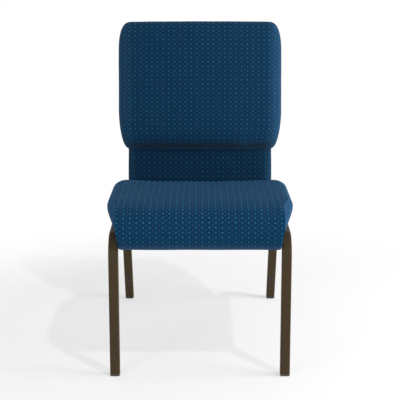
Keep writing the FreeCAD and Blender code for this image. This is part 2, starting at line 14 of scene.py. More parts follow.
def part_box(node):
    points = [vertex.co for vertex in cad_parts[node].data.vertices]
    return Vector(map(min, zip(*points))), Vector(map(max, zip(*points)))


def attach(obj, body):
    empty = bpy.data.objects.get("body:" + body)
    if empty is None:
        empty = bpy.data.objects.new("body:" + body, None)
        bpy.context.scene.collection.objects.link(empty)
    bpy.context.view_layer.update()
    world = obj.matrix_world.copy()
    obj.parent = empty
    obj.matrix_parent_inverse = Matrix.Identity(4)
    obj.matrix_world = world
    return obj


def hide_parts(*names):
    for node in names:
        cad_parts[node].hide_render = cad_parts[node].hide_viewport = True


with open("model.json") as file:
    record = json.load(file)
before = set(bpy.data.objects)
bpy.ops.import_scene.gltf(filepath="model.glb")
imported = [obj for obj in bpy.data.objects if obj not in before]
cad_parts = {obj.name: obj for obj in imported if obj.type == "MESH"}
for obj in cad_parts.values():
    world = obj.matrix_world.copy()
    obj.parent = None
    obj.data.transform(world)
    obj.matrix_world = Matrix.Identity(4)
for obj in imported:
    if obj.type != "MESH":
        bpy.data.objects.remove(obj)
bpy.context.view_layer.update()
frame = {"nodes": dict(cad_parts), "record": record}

# Places and sizes read from the frame
SEAT_LOW, SEAT_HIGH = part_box("seat_cover")
DUST_LOW, DUST_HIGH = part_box("seat_dust_cover")
CROSS_LOW, CROSS_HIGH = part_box("rear_cross_tube")
FRONT_LOW, FRONT_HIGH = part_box("front_cross_tube")
TAB_LOW, TAB_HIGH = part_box("seat_tabs")
HOOP_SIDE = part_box("back_hoop")[1].x
RAIL_TOP = CROSS_HIGH.z

# Seat cushion: heights are from the top of the side rails
SEAT_FRONT_RISE = 0.073      # middle of the top, where the front corners begin
SEAT_REAR_RISE = 0.064       # middle of the top, where the rear corners begin
RIM_FRONT_RISE = 0.0735      # side rims, at the same two places
RIM_REAR_RISE = 0.0686
SIDE_FRONT_RISE = 0.0620     # widest line, at the same two places
SIDE_REAR_RISE = 0.0505
RIM_POWER = 1.15             # fall of the side panel from the edge of the front panel
SIDE_BULGE = 0.004           # the side panels stand out this much
SEAT_RIM = 0.0125            # from the widest line in to the side rim
RIM_SWEEP = (0.050, 0.115)   # from the front, where the rim swings out from the panel's edge
SEAM_HALF = 0.2135           # middle of the seat to the edge of its front panel
FLARE_DROP = 0.006           # lower edge of the side flare, below the rail top
FLARE_POWER = 1.5            # of the flare's curve from the widest line down
SKIRT_HALF = 0.2045
SKIRT_LEAN = 0.0025
SKIRT_SHARE = 0.33           # least part of the side's height that is skirt, where it rolls under
SKIRT_DEPTH = 0.033          # front to back, with the board's lip inside
SKIRT_BEND = 0.0185          # where the underside turns down into the skirt
SKIRT_ROLL = 0.028           # front to back, of the rounding under the front
SKIRT_ROLL_HEIGHT = 0.044
SKIRT_CORNER = 0.006         # rounding of the skirt's lower corners
PANEL_HALF = 0.2052          # middle of the front panel to its lower corner
PANEL_SPLAY = 0.068          # height over which the panel widens to the seam
PANEL_LIP = (0.010, 0.020)   # the panel's edge stands out over this depth, in front of the legs
FRONT_SLOPE_RUN = 0.105      # the top first slopes gently to the front
FRONT_SLOPE_DROP = 0.018
FRONT_TURN_RUN = 0.037       # and then turns down
FRONT_TURN_DROP = 0.038
SIDE_EDGE_RUN = 0.077        # the widest line comes down in one sweep
SIDE_EDGE_DROP = 0.054
SIDE_EDGE_POWER = 2.25       # over 2, it stays level for longer than an ellipse
FRONT_CORNER_RUN = 0.110
REAR_RIM = 0.041             # the rim comes in to this at the rear
REAR_RIM_RUN = 0.085
REAR_CORNER_RUN = 0.062
REAR_CORNER_INSET = 0.041
REAR_EDGE_DROP = 0.026

# Back cushion: heights are along the recline, depths from the middle of the hoop
RECLINE = math.radians(11.5)
BACK_HALF = 0.2335
BACK_HEIGHT = 0.502
BACK_REAR = 0.0225           # depth of the rear face
REAR_CROWN = 0.003           # the rear face is fuller by this in the middle
BACK_HEEL = 0.010            # rounding of the rear edges
NECK_HALF = 0.2055
NECK_BOTTOM = 0.039
NECK_TOP = 0.141
NECK_FRONT = 0.021           # depth of the neck's front, at its edges
NECK_CROWN = 0.002
NECK_BULGE = 0.0008          # the sides stand out this much in the middle of their depth
NECK_EDGE = 0.009            # rounding of the front edges
PAD_FRONT = 0.054            # the same four for the pad above
PAD_CROWN = 0.009
PAD_BULGE = 0.0025
PAD_EDGE = 0.024
PAD_LEAN = 0.009             # the pad's front comes back this much up to the top
SHOULDER_RISE = 0.115        # height over which the pad widens
CHIN_RISE = 0.060            # and over which it comes forward
TOP_CORNER_RISE = 0.078
TOP_CORNER_INSET = 0.030
TOP_CORNER_POWER = 2.2       # over 2, fuller than an ellipse
TOP_FRONT_RADIUS = 0.028
TOP_REAR_RADIUS = 0.012

# Steps of the curves that the cushions' skins follow
ARC_STEPS = 16               # of a quarter turn
SIDE_STEPS = 24              # down the side of the seat
NECK_STEPS = 14              # up the neck
FACE_STEPS = 40              # across the back
FLANK_STEPS = 12             # through the back

# Upholstery work
CELL = 0.0085                # spacing of the cushions' quads
SEAM_CELL = 0.0018           # width of the strip beside a seam
SEAM_DEPTH = 0.0014
RIDGE_CREASE = 0.9           # crispness of the edges of the seat's front panel
FILL = 0.0016                # the foam stands this far out of the shape that the cover is cut to
SWELL = 0.0015               # the cushions start this much smaller and are blown up
SWELL_LIMIT = 0.0012
SWELL_PRESSURE = 4.0
SWELL_FRAMES = 20
UNEVEN = 0.0005              # hand-made unevenness of the foam
UNEVEN_LENGTH = 0.06
NECK_GATHER = 1.05           # the cloth is drawn together this much across the neck
NECK_STRETCH = 1.053         # and stretched this much up it

# Trim under the seat
DUST_SAG = 0.004             # the dust cover hangs this much in the middle
SAG_VARIES = 0.3             # by this share of it
STAPLE_PITCH = 0.042
STAPLE_INSET = 0.008         # from the dust cover's edge
STAPLE_WIDTH = 0.010
STAPLE_WIRE = 0.0009
WELD = 0.0026                # radius of a weld bead
WELD_RIPPLE = 0.0026         # length of one of its ripples
RIPPLE_DEPTH = 0.12          # as a share of its radius
TAB_WIDTH = 0.040
HOOP_TUBE = 0.019
PLIES = 0.003                # a light and a dark ply of the boards

# Dot pattern of the fabric, as it lies on each cushion: pitch and place of one dot
SEAT_DOTS = ((0.0166, 0.0128), (0.0064, 0.0055))
BACK_DOTS = ((0.0159, 0.01255), (0.0069, -0.0047))
DOT_RADIUS = 0.0027
SPECK_RADIUS = 0.0024
DOT_STRETCH = 1.27           # the dots are this much wider on the top, where the cloth is pulled tight
DOT_VARIES = 0.010           # over this length dots come out stronger and fainter
YARN = 0.0009

# Camera, fitted to the four feet and the outline in the photograph
CAMERA_PLACE = (0.0, -2.9765, 1.140)
CAMERA_DOWN = math.radians(14.09)
CAMERA_LENS = 99.0
SENSOR_WIDTH = 36.0

# Light: the shares are of what a white floor needs to look white
AMBIENT = 0.50
KEY_PLACE = (3.65, -4.47, 8.97)     # where the edges of the shadow in the photograph point to
KEY_SIZE = 0.35
KEY_SHARE = 0.22
SIDE_PLACE = (2.6, -0.6, 1.0)
SIDE_SIZE = 1.4
SIDE_SHARE = 1.00
FILL_PLACE = (-1.6, -2.6, 1.0)
FILL_SIZE = 0.6
FILL_SHARE = 0.16
LIGHT_TARGET = (0.0, -0.05, 0.40)
FLOOR_GLOW = 0.52            # share of plain white in the floor round the chair
GLOW_ROUND = (0.55, 1.25)    # where the floor fades from there to all white
FLOOR_SIZE = 6.0


# Shapes

def lerp(a, b, share):
    return a + (b - a) * share


def clamp(share):
    return min(max(share, 0.0), 1.0)


def quarter(distance, length, power=2.0):
    """Height, as a share, of a quarter ellipse at a distance from its foot, or with a power over
    2 of a squarer curve."""
    share = clamp(distance / length)
    return (1 - (1 - share) ** power) ** (1 / power)


def resample(points, shares):
    """Points at the given shares of a polyline's length."""
    points = [Vector(p) for p in points]
    marks = [0.0]
    for a, b in zip(points, points[1:]):
        marks.append(marks[-1] + (b - a).length)
    placed, leg = [], 0
    for share in shares:
        target = share * marks[-1]
        while leg < len(points) - 2 and marks[leg + 1] < target:
            leg += 1
        length = marks[leg + 1] - marks[leg]
        placed.append(points[leg].lerp(points[leg + 1], (target - marks[leg]) / length if length else 0.0))
    return placed


def even(cells):
    return [n / cells for n in range(cells + 1)]


def seamed(length):
    """Shares of even cells along a length, with a narrow cell at both ends."""
    edge = SEAM_CELL / length
    cells = 2 * round((length - 2 * SEAM_CELL) / CELL / 2)
    return [0.0] + [lerp(edge, 1 - edge, share) for share in even(cells)] + [1.0]


def unroll(points, rows, anchor, height):
    """Cloth coordinates of lattice rows: u across each row from its middle, v along the strip,
    with v = height at the anchor."""
    flat = {}
    along = [0.0] * len(rows[0])
    for number, row in enumerate(rows):
        across = [0.0]
        for a, b in zip(row, row[1:]):
            across.append(across[-1] + (points[b] - points[a]).length)
        if number:
            along = [v + (points[key] - points[last]).length
                     for v, key, last in zip(along, row, rows[number - 1])]
        middle = across[len(row) // 2]
        for key, u, v in zip(row, across, along):
            flat[key] = (u - middle, v)
    lift = height - flat[anchor][1]
    return {key: (u, v + lift) for key, (u, v) in flat.items()}


def lattice_skin(name, points, cells, cloth, finish_of_axis=(0, 0, 0)):
    """A closed skin over the six sides of a lattice. cloth gives each side's cloth coordinates,
    by the side's (axis, index), and finish_of_axis which of the piece's materials it takes."""
    skin = bmesh.new()
    layer = skin.loops.layers.uv.new("cloth")
    corners = {key: skin.verts.new(place) for key, place in points.items()}
    for axis in range(3):
        first, second = [other for other in range(3) if other != axis]
        for index in (0, cells[axis]):
            for a in range(cells[first]):
                for b in range(cells[second]):
                    keys = []
                    for step_a, step_b in ((0, 0), (1, 0), (1, 1), (0, 1)):
                        key = [index] * 3
                        key[first], key[second] = a + step_a, b + step_b
                        keys.append(tuple(key))
                    face = skin.faces.new([corners[key] for key in keys])
                    face.smooth = True
                    face.material_index = finish_of_axis[axis]
                    for loop, key in zip(face.loops, keys):
                        loop[layer].uv = cloth[(axis, index)][key]
    skin.verts.index_update()
    order = {key: vert.index for key, vert in corners.items()}
    bmesh.ops.recalc_face_normals(skin, faces=skin.faces)
    return new_piece(name, skin), order


def surface_keys(cells):
    """Lattice places on the outside of the block of cells."""
    nx, ny, nz = cells
    return [(i, j, k) for i in range(nx + 1) for j in range(ny + 1) for k in range(nz + 1)
            if i in (0, nx) or j in (0, ny) or k in (0, nz)]


def new_piece(name, shape):
    """A mesh object of a bmesh, which is used up."""
    mesh = bpy.data.meshes.new(name)
    shape.to_mesh(mesh)
    shape.free()
    piece = bpy.data.objects.new(name, mesh)
    bpy.context.scene.collection.objects.link(piece)
    return piece


def dress(piece, slot, *materials):
    """Gives a new piece its materials and hangs it on the chair."""
    for material in materials:
        piece.data.materials.append(material)
    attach(piece, "root")
    return piece


# Cushions

def swell(piece, held):
    """Blows the cushion up in a short cloth simulation with the held corners fixed, and keeps
    every other point near the shape that it was cut to, which the foam fills."""
    mesh = piece.data
    cut = [(vert.co.copy(), vert.normal.copy()) for vert in mesh.vertices]
    travels = [0.0] * len(cut)
    blown = blow_up(piece, held)
    travels = [(after - place).dot(normal) for after, (place, normal) in zip(blown, cut)]
    for index, (place, normal) in enumerate(cut):
        if index in held:
            mesh.vertices[index].co = place
        else:
            travel = travels[index] / math.hypot(1, travels[index] / SWELL_LIMIT)
            mesh.vertices[index].co = place + normal * (FILL + travel)


def blow_up(piece, held):
    """Places of the cushion's points after it starts slightly smaller and is blown up."""
    for index, vert in enumerate(piece.data.vertices):
        if index not in held:
            vert.co -= vert.normal * SWELL
    pinned = piece.vertex_groups.new(name="held")
    pinned.add(sorted(held), 1.0, "REPLACE")
    cloth = piece.modifiers.new("swell", "CLOTH")
    cloth.settings.quality = 6
    cloth.settings.use_pressure = True
    cloth.settings.uniform_pressure_force = SWELL_PRESSURE
    cloth.settings.effector_weights.gravity = 0.0
    cloth.settings.vertex_group_mass = pinned.name
    cloth.point_cache.frame_end = SWELL_FRAMES
    scene = bpy.context.scene
    for number in range(1, SWELL_FRAMES + 1):
        scene.frame_set(number)
    blown = piece.evaluated_get(bpy.context.evaluated_depsgraph_get())
    places = [vert.co.copy() for vert in blown.data.vertices]
    piece.modifiers.remove(cloth)
    piece.vertex_groups.remove(pinned)
    scene.frame_set(1)
    return places


def finish_cushion(piece, seams, fixed):
    """Sews the seams in, makes the foam slightly uneven and smooths the skin."""
    mesh = piece.data
    mesh.update()
    for index, vert in enumerate(mesh.vertices):
        if index in seams:
            vert.co -= vert.normal * SEAM_DEPTH
        elif index not in fixed:
            vert.co += vert.normal * UNEVEN * noise.noise(vert.co / UNEVEN_LENGTH)
    smooth = piece.modifiers.new("smooth", "SUBSURF")
    smooth.levels = smooth.render_levels = 1


def sharpen(piece, ridge):
    """Keeps the line of corners through the ridge crisp when the skin is smoothed."""
    crease = piece.data.attributes.new("crease_edge", "FLOAT", "EDGE")
    for edge in piece.data.edges:
        if ridge.issuperset(edge.vertices):
            crease.data[edge.index].value = RIDGE_CREASE


def seat_station(y):
    """The seat's cross-section at one y: half width, height of the widest line, half width to the
    rim, heights of the rim and of the middle, and sharpness of the rim."""
    ahead, behind = y - SEAT_LOW.y, SEAT_HIGH.y - y
    start, stop = SEAT_LOW.y + FRONT_CORNER_RUN, SEAT_HIGH.y - REAR_CORNER_RUN
    share = clamp((y - start) / (stop - start))
    top_drop = (FRONT_SLOPE_DROP * max(1 - ahead / FRONT_SLOPE_RUN, 0.0) ** 2
                + FRONT_TURN_DROP * (1 - quarter(ahead, FRONT_TURN_RUN)))
    side_drop = SIDE_EDGE_DROP * (1 - quarter(ahead, SIDE_EDGE_RUN, SIDE_EDGE_POWER))
    rear_drop = REAR_EDGE_DROP * (1 - quarter(behind, REAR_CORNER_RUN))
    full = SEAT_HIGH.x + SIDE_BULGE
    half = (full - (full - SEAM_HALF) * max(1 - ahead / FRONT_CORNER_RUN, 0.0) ** 2
            - REAR_CORNER_INSET * (1 - quarter(behind, REAR_CORNER_RUN)))
    swing = clamp((ahead - RIM_SWEEP[0]) / (RIM_SWEEP[1] - RIM_SWEEP[0]))
    swing *= swing * (3 - 2 * swing)

    def height(front_rise, rear_rise, drop):
        return RAIL_TOP + lerp(front_rise, rear_rise, share) - drop - rear_drop

    wide = height(SIDE_FRONT_RISE, SIDE_REAR_RISE, side_drop)
    rim = height(RIM_FRONT_RISE, RIM_REAR_RISE, top_drop)
    crown = height(SEAT_FRONT_RISE, SEAT_REAR_RISE, top_drop)
    rim_width = lerp(SEAT_RIM, REAR_RIM, max(1 - behind / REAR_RIM_RUN, 0.0))
    return half, wide, lerp(SEAM_HALF, half - rim_width, swing), rim, crown, 1 - swing


def seat_top_point(y, x):
    """A point on the top, between the widest lines."""
    half, wide, rim_half, rim, crown, sharp = seat_station(y)
    beyond = abs(x) - rim_half
    if beyond <= 0 or half <= rim_half:
        return Vector((x, y, lerp(crown, rim, min(x / rim_half, 1.0) ** 2)))
    share = min(beyond / (half - rim_half), 1.0)
    fall = lerp(1 - math.sqrt(1 - share ** 2), share ** RIM_POWER, sharp)
    return Vector((x, y, lerp(rim, wide, fall)))


def seat_foot(y):
    """Height of the skirt's lower edge where it rolls under the front."""
    return SEAT_LOW.z + SKIRT_ROLL_HEIGHT * (1 - quarter(y - SEAT_LOW.y, SKIRT_ROLL))


def seat_side_point(y, z):
    """A point on the right side, at or below the widest line."""
    half, wide = seat_station(y)[:2]
    foot = seat_foot(y)
    skirt_top = max(RAIL_TOP - FLARE_DROP, lerp(foot, wide, SKIRT_SHARE))
    lean_half = min(SKIRT_HALF + SKIRT_LEAN, half - SKIRT_LEAN)
    if z <= skirt_top:
        x = lerp(SKIRT_HALF, lean_half, max((z - foot) / (skirt_top - foot), 0.0))
    else:
        below = clamp((wide - z) / (wide - skirt_top))
        x = lerp(half, lean_half, below ** FLARE_POWER)
    height = z - SEAT_LOW.z
    near, far = PANEL_LIP
    lip = clamp((far - (y - SEAT_LOW.y)) / (far - near))
    panel = lerp(PANEL_HALF, SEAM_HALF, min(height / PANEL_SPLAY, 1.0))
    corner = SKIRT_CORNER * (1 - quarter(height, SKIRT_CORNER))
    return Vector((lerp(x, max(x, panel), lip) - corner, y, z))


def seat_rows():
    """(y of the rim, path down the side as y and z) of the rows across the seat, rear to front."""
    rear_end, front_end = SEAT_HIGH.y - REAR_CORNER_RUN, SEAT_LOW.y + FRONT_CORNER_RUN
    turns = [math.sin(math.radians(90) * share) for share in even(ARC_STEPS)]
    rear = [SEAT_HIGH.y - REAR_CORNER_RUN * (1 - turn) for turn in reversed(turns[::2])]
    run = [lerp(rear_end, front_end, share) for share in even(round((rear_end - front_end) / CELL))]
    front = [SEAT_LOW.y + FRONT_CORNER_RUN * (1 - turn) for turn in turns]
    base, heel, toe = DUST_HIGH.z, SEAT_LOW.y + SKIRT_DEPTH, SEAT_LOW.y + SKIRT_ROLL
    bend = [(0, heel + SKIRT_BEND * (1 - math.sin(math.radians(angle))),
             base - SKIRT_BEND * (1 - math.cos(math.radians(angle)))) for angle in range(0, 91, 15)]
    edge = [(0, front_end, base)] + bend + [(0, heel, SEAT_LOW.z), (0, toe, SEAT_LOW.z)]
    plain = rear[:-1] + run[:-1]
    lows = [(y, base) for y in plain] + [(p.y, p.z) for p in resample(edge, even(len(front) - 1))]
    rows = []
    for y, (low_y, low_z) in zip(plain + front, lows):
        wide = seat_station(y)[1]
        rows.append((y, [(lerp(y, low_y, share), lerp(wide, low_z, share)) for share in even(SIDE_STEPS)]))
    roll = [SEAT_LOW.y + SKIRT_ROLL * (1 - math.cos(math.radians(angle))) for angle in range(0, 91, 5)]
    rows[-1] = (SEAT_LOW.y, rows[-1][1][:1] + [(y, seat_foot(y)) for y in roll])
    return rows


def seat_side_column(row):
    """Points down the right side of one row, from the rim to the lower edge."""
    y, path = row
    half, _, rim_half = seat_station(y)[:3]
    turns = [math.sin(math.radians(90) * share) for share in even(ARC_STEPS)]
    over = [seat_top_point(y, lerp(rim_half, half, turn)) for turn in turns]
    return over + [seat_side_point(*place) for place in path[1:]]


def seat_lattice():
    """Places of the seat's skin: i across, j from rear to front, k from the rim down."""
    rows = seat_rows()
    columns = [seat_side_column(row) for row in rows]
    middle = columns[len(rows) // 2]
    across = seamed(2 * SEAM_HALF)
    down = seamed(sum((b - a).length for a, b in zip(middle, middle[1:])))
    columns = [resample(column, down) for column in columns]
    cells = (len(across) - 1, len(rows) - 1, len(down) - 1)
    points = {}
    for key in surface_keys(cells):
        i, j, k = key
        side = columns[j][k]
        sideways = 2 * across[i] - 1
        if i in (0, cells[0]) or k == cells[2]:
            place = Vector((side.x * sideways, side.y, side.z))
        else:
            rim, foot = columns[j][0], columns[j][-1]
            top = seat_top_point(rows[j][0], rim.x * sideways)
            fall = (rim.z - side.z) / (rim.z - foot.z)
            place = Vector((side.x * sideways, side.y, lerp(top.z, foot.z, fall)))
        points[key] = place
    return points, cells


def seat_cloth(points, cells):
    """Cloth coordinates of the seat's sides. Front, top and rear are one strip."""
    nx, ny, nz = cells
    columns = range(nx + 1)
    strip = ([[(i, ny, k) for i in columns] for k in range(nz, 0, -1)]
             + [[(i, j, 0) for i in columns] for j in range(ny, -1, -1)]
             + [[(i, 0, k) for i in columns] for k in range(1, nz + 1)])
    main = unroll(points, strip, (nx // 2, ny, nz), SEAT_LOW.z)
    sides = {(2, 0): main, (1, 0): main, (1, ny): main}
    for i in (0, nx):
        rows = [[(i, j, k) for j in range(ny + 1)] for k in range(nz + 1)]
        sides[(0, i)] = unroll(points, rows, (i, 0, 0), 0.0)
    rows = [[(i, j, nz) for i in columns] for j in range(ny + 1)]
    sides[(2, nz)] = unroll(points, rows, (0, 0, nz), 0.0)
    return sides


def make_seat(*materials):
    """The seat cushion. The second material is for its side faces."""
    points, cells = seat_lattice()
    nx, ny, nz = cells
    piece, order = lattice_skin("seat_cushion", points, cells, seat_cloth(points, cells), (1, 0, 0))
    ridge = {order[i, j, k] for i, j, k in points if i in (0, nx) and (k == 0 or j == ny) and k < nz}
    base = {order[key] for key in points if key[2] == nz}
    swell(piece, base)
    finish_cushion(piece, set(), base)
    sharpen(piece, ridge)
    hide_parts("seat_cover", "seat_foam")
    return dress(piece, "blue_fabric", *materials)


def back_place(x, depth, height):
    """A point of the leaning back in the frame."""
    foot = Vector((0, (CROSS_LOW.y + CROSS_HIGH.y) / 2, RAIL_TOP))
    up = Vector((0, math.sin(RECLINE), math.cos(RECLINE)))
    rear = Vector((0, math.cos(RECLINE), -math.sin(RECLINE)))
    return foot + Vector((x, 0, 0)) + rear * depth + up * height


def back_station(height):
    """Front outline, side and rear outline of the back's cross-section at one height."""
    lift = height - NECK_TOP
    shoulder, chin = quarter(lift, SHOULDER_RISE), quarter(lift, CHIN_RISE)
    to_top = BACK_HEIGHT - height
    front_round = TOP_FRONT_RADIUS * (1 - quarter(to_top, TOP_FRONT_RADIUS))
    rear_round = TOP_REAR_RADIUS * (1 - quarter(to_top, TOP_REAR_RADIUS))
    side_round = TOP_CORNER_INSET * (1 - quarter(to_top, TOP_CORNER_RISE, TOP_CORNER_POWER))
    bulge = lerp(NECK_BULGE, PAD_BULGE, chin)
    half = lerp(NECK_HALF, BACK_HALF, shoulder) - bulge - side_round
    lean = PAD_LEAN * max(lift, 0.0) / (BACK_HEIGHT - NECK_TOP)
    rim = lerp(NECK_FRONT, PAD_FRONT - lean, chin) - front_round
    crown = lerp(NECK_CROWN, PAD_CROWN, chin)
    rear = BACK_REAR - rear_round
    edge = lerp(NECK_EDGE, PAD_EDGE, chin) - front_round / 2
    heel = BACK_HEEL - rear_round / 2

    def outline(depth, sign, corner, rise):
        """From left to right: a corner, the crowned face and the other corner."""
        turns = [math.radians(angle) for angle in range(0, 91, 9)]
        flat = half - corner
        left_arc = [(-flat - corner * math.cos(turn), sign * (depth - corner + corner * math.sin(turn)))
                    for turn in turns]
        face = [(flat * (2 * share - 1), sign * (depth + rise * (1 - (2 * share - 1) ** 2)))
                for share in even(FACE_STEPS)]
        right_arc = [(-x, depth) for x, depth in reversed(left_arc)]
        return left_arc + face[1:-1] + right_arc

    flank = []
    for share in even(FLANK_STEPS):
        swelling = bulge * (1 - (2 * share - 1) ** 2)
        flank.append((half + swelling, lerp(-rim + edge, rear - heel, share)))
    return outline(rim, -1, edge, crown), flank, outline(rear, 1, heel, REAR_CROWN)


def back_heights():
    """Heights of the rows up the back, closer where it swells and where its top is rounded."""
    angles = [math.radians(90) * share for share in even(ARC_STEPS)]
    neck = [lerp(NECK_BOTTOM, NECK_TOP, share) for share in even(NECK_STEPS)]
    swelling = [NECK_TOP + SHOULDER_RISE * (1 - math.cos(angle)) for angle in angles]
    crest = [BACK_HEIGHT - TOP_CORNER_RISE * (1 - math.sin(angle)) for angle in angles]
    run = [lerp(swelling[-1], crest[0], share) for share in even(round((crest[0] - swelling[-1]) / CELL))]
    return neck[:-1] + swelling[:-1] + run[:-1] + crest


def back_lattice():
    """Places of the back's skin: i across, j up, k from front to rear. Also the row heights."""
    heights = back_heights()
    across, through = seamed(2 * BACK_HALF), seamed(PAD_FRONT)
    cells = (len(across) - 1, len(heights) - 1, len(through) - 1)
    rows = []
    for height in heights:
        front, flank, rear = back_station(height)
        lines = [resample([(x, depth, 0) for x, depth in line], shares)
                 for line, shares in ((front, across), (flank, through), (rear, across))]
        rows.append([[(p.x, p.y) for p in line] for line in lines])
    points = {}
    for key in surface_keys(cells):
        i, j, k = key
        front, flank, rear = rows[j]
        if i in (0, cells[0]):
            x, depth = flank[k]
            x = x if i else -x
        else:
            x, depth = (lerp(a, b, through[k]) for a, b in zip(front[i], rear[i]))
        points[key] = back_place(x, depth, heights[j])
    return points, cells, heights


def back_cloth(points, cells, heights):
    """Cloth coordinates of the back's sides. Front, top and rear are one strip."""
    nx, ny, nz = cells
    columns = range(nx + 1)
    strip = ([[(i, j, 0) for i in columns] for j in range(ny + 1)]
             + [[(i, ny, k) for i in columns] for k in range(1, nz + 1)]
             + [[(i, j, nz) for i in columns] for j in range(ny - 1, -1, -1)])
    middle = min(range(ny + 1), key=lambda j: abs(heights[j] - (NECK_TOP + BACK_HEIGHT) / 2))
    main = unroll(points, strip, (nx // 2, middle, 0), heights[middle])
    neck_row = min(range(ny + 1), key=lambda j: abs(heights[j] - NECK_TOP))
    neck_tops = [main[(i, neck_row, 0)][1] for i in columns]
    for key, (u, v) in main.items():
        i, j, k = key
        if j < neck_row and k == 0:
            v = lerp(neck_tops[i], v, 1 / NECK_STRETCH)
        main[key] = (u * lerp(NECK_GATHER, 1.0, clamp((heights[j] - NECK_TOP) / CHIN_RISE)), v)
    sides = {(2, 0): main, (2, nz): main, (1, ny): main}
    for i in (0, nx):
        rows = [[(i, j, k) for k in range(nz + 1)] for j in range(ny + 1)]
        sides[(0, i)] = unroll(points, rows, (i, 0, 0), 0.0)
    rows = [[(i, 0, k) for i in columns] for k in range(nz + 1)]
    sides[(1, 0)] = unroll(points, rows, (0, 0, 0), 0.0)
    return sides


def make_back(*materials):
    """The back cushion, sewn along the edges of its rear face."""
    points, cells, heights = back_lattice()
    nx, ny, nz = cells
    piece, order = lattice_skin("back_cushion", points, cells, back_cloth(points, cells, heights))
    seams = {order[i, j, k] for i, j, k in points if k == nz and (i in (0, nx) or j == ny) and j}
    base = {order[key] for key in points if key[1] == 0}
    swell(piece, seams | base)
    finish_cushion(piece, seams, base)
    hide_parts("back_cover", "back_foam", "back_rear_foam")
    return dress(piece, "blue_fabric", *materials)


# Trim under the seat

def sweep(shape, path, radii, closed=False):
    """Adds a round bar along a path to a bmesh, with a radius at each point."""
    rings = []
    for number, (point, radius) in enumerate(zip(path, radii)):
        before = path[number - 1] if number or closed else point
        after = path[(number + 1) % len(path)] if closed or number + 1 < len(path) else point
        along = (after - before).normalized()
        side = along.cross(Vector((0.3, 0.5, 0.8))).normalized()
        turns = [math.radians(angle) for angle in range(0, 360, 45)]
        spokes = [side * math.cos(turn) + along.cross(side) * math.sin(turn) for turn in turns]
        rings.append([shape.verts.new(point + radius * spoke) for spoke in spokes])
    for first, second in zip(rings, rings[1:] + rings[:1] if closed else rings[1:]):
        for k in range(len(first)):
            shape.faces.new((first[k - 1], first[k], second[k], second[k - 1])).smooth = True
    if not closed:
        shape.faces.new(rings[0])
        shape.faces.new(rings[-1])


def spread(low, high, pitch):
    """Places from low to high, evenly and about a pitch apart."""
    return [lerp(low, high, share) for share in even(round((high - low) / pitch))]


def make_dust_cover(cloth, metal):
    """The thin cloth stapled under the seat board. It hangs a little between the front tube and
    the tabs."""
    width, length = DUST_HIGH.x - DUST_LOW.x, DUST_HIGH.y - DUST_LOW.y
    level = (DUST_LOW.z + DUST_HIGH.z) / 2
    shape = bmesh.new()
    bmesh.ops.create_grid(shape, x_segments=round(width / CELL), y_segments=round(length / CELL), size=0.5)
    for vert in shape.verts:
        x = lerp(DUST_LOW.x, DUST_HIGH.x, vert.co.x + 0.5)
        y = lerp(DUST_LOW.y, DUST_HIGH.y, vert.co.y + 0.5)
        open_share = clamp((y - FRONT_HIGH.y) / (TAB_LOW.y - FRONT_HIGH.y))
        hang = math.cos(math.pi * vert.co.x) * math.sin(math.pi * open_share)
        varies = 1 + SAG_VARIES * noise.noise(Vector((x, y, 0)) / UNEVEN_LENGTH)
        vert.co = (x, y, level - DUST_SAG * hang * varies)
    for face in shape.faces:
        face.smooth = True
    cover = new_piece("dust_cover", shape)
    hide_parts("seat_dust_cover")
    staples = make_staples(level, metal)
    return dress(cover, "dust_cloth", cloth)


def make_staples(level, metal):
    """Staples along the edges of the dust cover, clear of the front tube and the tabs."""
    left, right = DUST_LOW.x + STAPLE_INSET, DUST_HIGH.x - STAPLE_INSET
    front, rear = DUST_LOW.y + STAPLE_INSET, DUST_HIGH.y - STAPLE_INSET
    across, along = Vector((STAPLE_WIDTH, 0, 0)), Vector((0, STAPLE_WIDTH, 0))
    columns, rows = spread(left, right, STAPLE_PITCH), spread(FRONT_HIGH.y + STAPLE_WIDTH, rear, STAPLE_PITCH)
    tab_middle, clear = TAB_HIGH.x - TAB_WIDTH / 2, TAB_WIDTH / 2 + STAPLE_WIDTH
    spots = [(x, y, along) for x in (left, right) for y in rows]
    spots += [(x, front, across) for x in columns]
    spots += [(x, rear, across) for x in columns[1:-1] if abs(abs(x) - tab_middle) >= clear]
    bend = STAPLE_WIRE / 2
    shape = bmesh.new()
    for x, y, way in spots:
        low = Vector((x, y, level - bend))
        path = [low + way * reach + Vector((0, 0, rise)) for reach, rise in (
            (-0.50, 2 * bend), (-0.50, bend), (-0.46, 0), (0.46, 0), (0.50, bend), (0.50, 2 * bend))]
        sweep(shape, path, [bend] * len(path))
    bmesh.ops.recalc_face_normals(shape, faces=shape.faces)
    return dress(new_piece("dust_cover_staples", shape), "zinc", metal)


